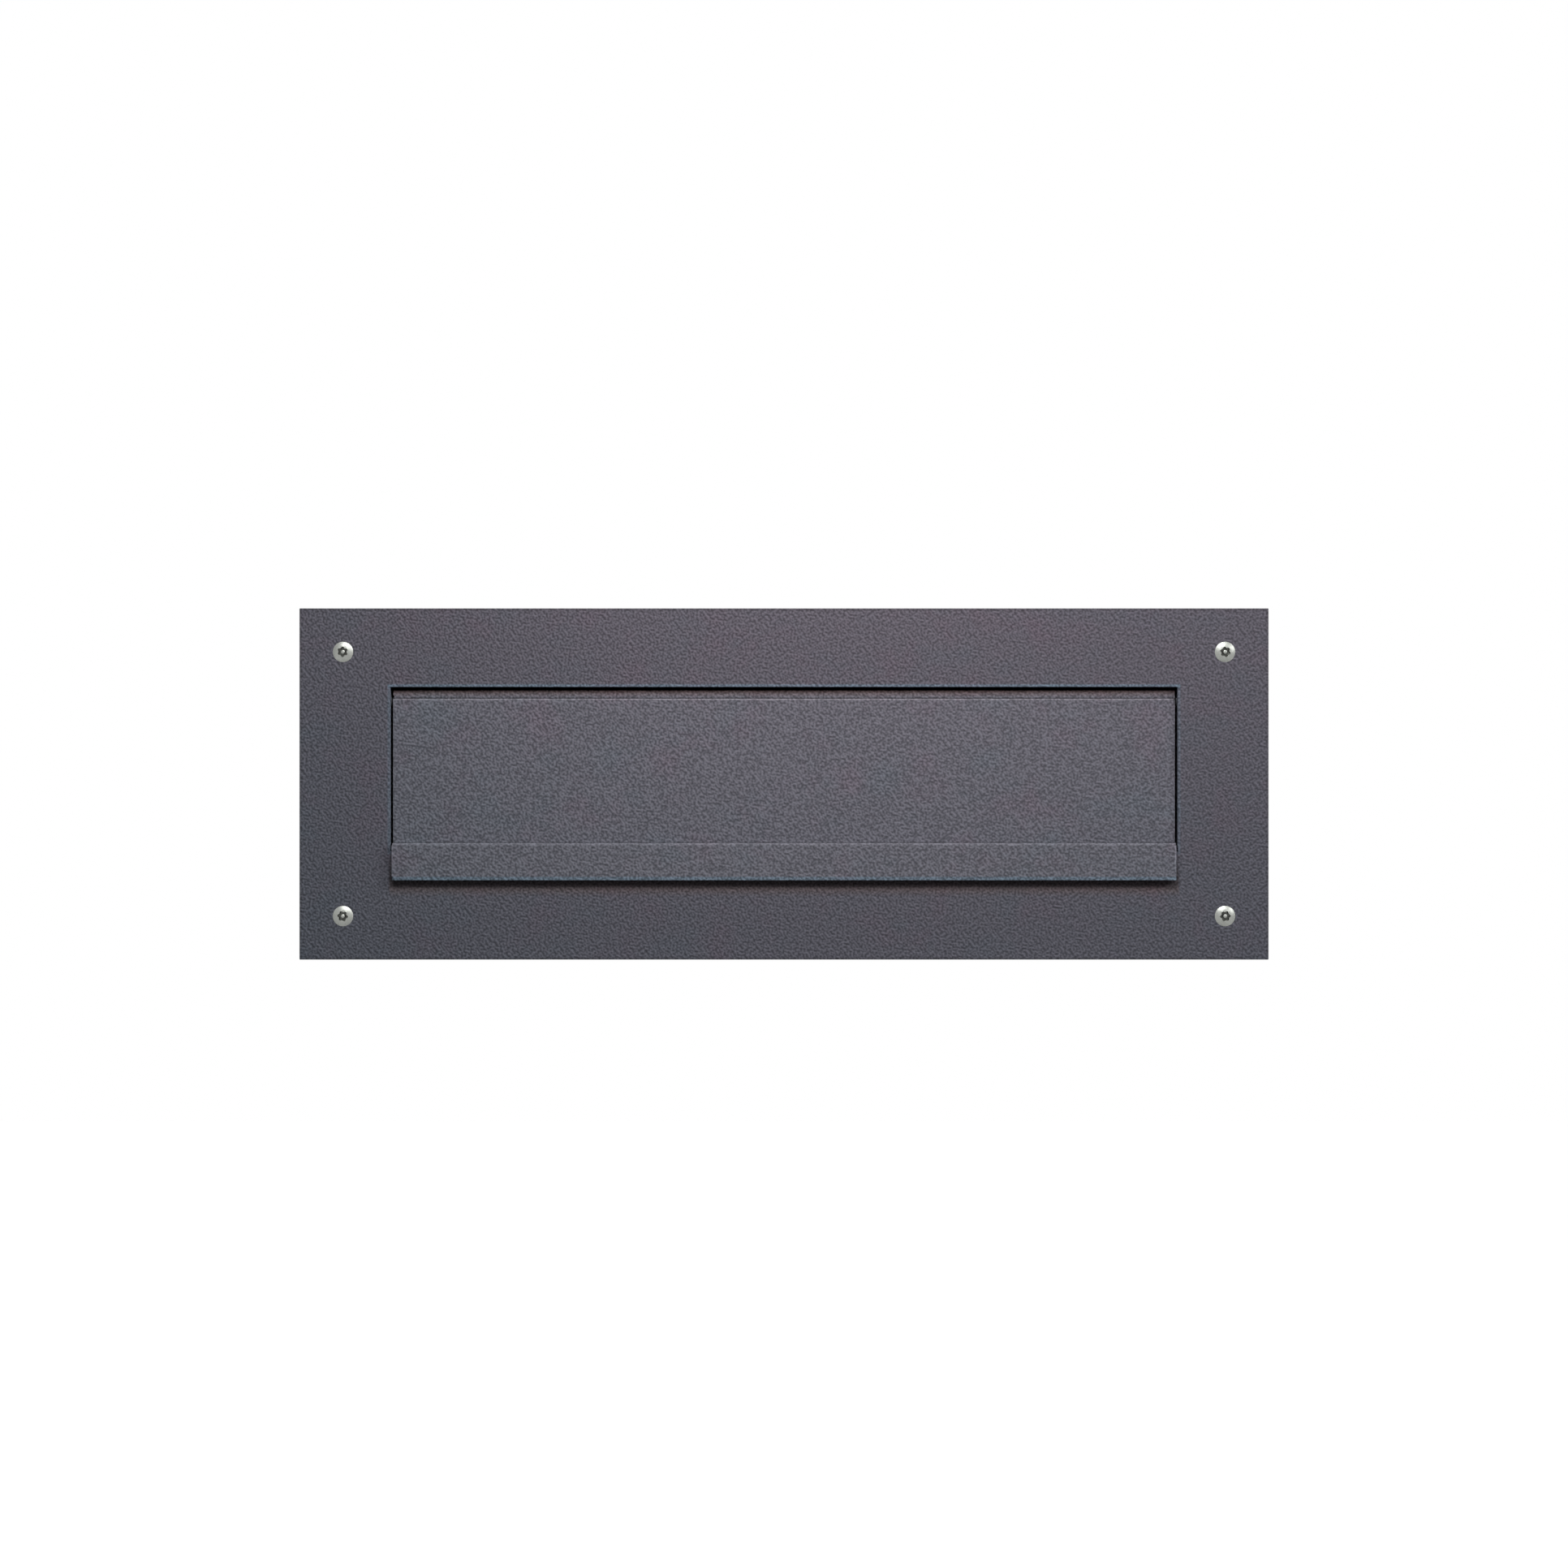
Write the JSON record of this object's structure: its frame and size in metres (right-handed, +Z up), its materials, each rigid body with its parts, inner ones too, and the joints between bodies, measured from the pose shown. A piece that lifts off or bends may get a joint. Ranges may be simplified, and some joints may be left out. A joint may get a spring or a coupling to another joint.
{
  "type": "wall mounted mailbox",
  "caption": "Letterbox set through a wall: dark grey street plate with a lifting letter flap, steel box behind it and a locking removal door on the room side.",
  "frame": {"origin": "middle of the letterbox on the street face of the wall, behind the front plate's gasket", "axes": "+X along the plate to the right as seen from the street, +Y into the wall towards the room, +Z up"},
  "size_m": [0.412, 0.289, 0.157],
  "materials": {
    "powder_coat": "fine-structured anthracite powder coat with a metallic grain",
    "stainless": "satin stainless steel",
    "galvanised": "matt galvanised sheet with faint spangle",
    "zinc_plated": "bright zinc plating",
    "aluminium": "bare pressed aluminium",
    "spring_steel": "drawn spring wire",
    "lock_chrome": "satin chrome",
    "key_nickel": "nickel plate, worn on the edges",
    "rubber": "matt black rubber",
    "foam": "closed-cell black foam"
  },
  "bodies": {
    "housing": {"front_plate": "powder_coat", "plate_screws": "stainless", "wall_gasket": "foam", "hinge_rod": "stainless", "left_hinge_bracket": "galvanised", "right_hinge_bracket": "galvanised", "bracket_studs": "galvanised", "bracket_nuts": "zinc_plated", "rod_clips": "spring_steel", "left_flap_spring": "spring_steel", "right_flap_spring": "spring_steel", "front_frame": "galvanised", "weld_nuts": "zinc_plated", "box_body": "galvanised", "box_roof": "galvanised", "roof_rivets": "aluminium", "rear_trim": "powder_coat", "door_frame": "galvanised", "door_seal": "foam", "hinge_trim_leaves": "stainless", "hinge_pins": "stainless"},
    "flap": {"letter_flap": "powder_coat", "flap_bumpers": "rubber"},
    "door": {"removal_door": "powder_coat", "hinge_door_leaves": "stainless", "lock_body": "lock_chrome", "lock_nut": "lock_chrome"},
    "lock_core": {"lock_plug": "lock_chrome", "lock_cam": "zinc_plated", "cam_screw": "zinc_plated"},
    "key": {"key": "key_nickel"}
  },
  "joints": [
    {"name": "flap_lift", "type": "hinge", "parent": "housing", "child": "flap", "pos_m": [0, 0.0014, 0.0344], "axis": [-1, 0, 0], "range_deg": [0, 88], "stiffness_Nm_per_rad": 0.04, "springref_deg": -34.38, "deforming": ["left_flap_spring", "right_flap_spring"]},
    {"name": "door_swing", "type": "hinge", "parent": "housing", "child": "door", "pos_m": [-0.1912, 0.2447, 0], "axis": [0, 0, 1], "range_deg": [0, 110]},
    {"name": "lock_turn", "type": "hinge", "parent": "door", "child": "lock_core", "pos_m": [0.158, 0.2467, 0], "axis": [0, -1, 0], "range_deg": [0, 90]},
    {"name": "key_withdraw", "type": "slide", "parent": "lock_core", "child": "key", "axis": [0, 1, 0], "range_m": [0, 0.025]}
  ]
}
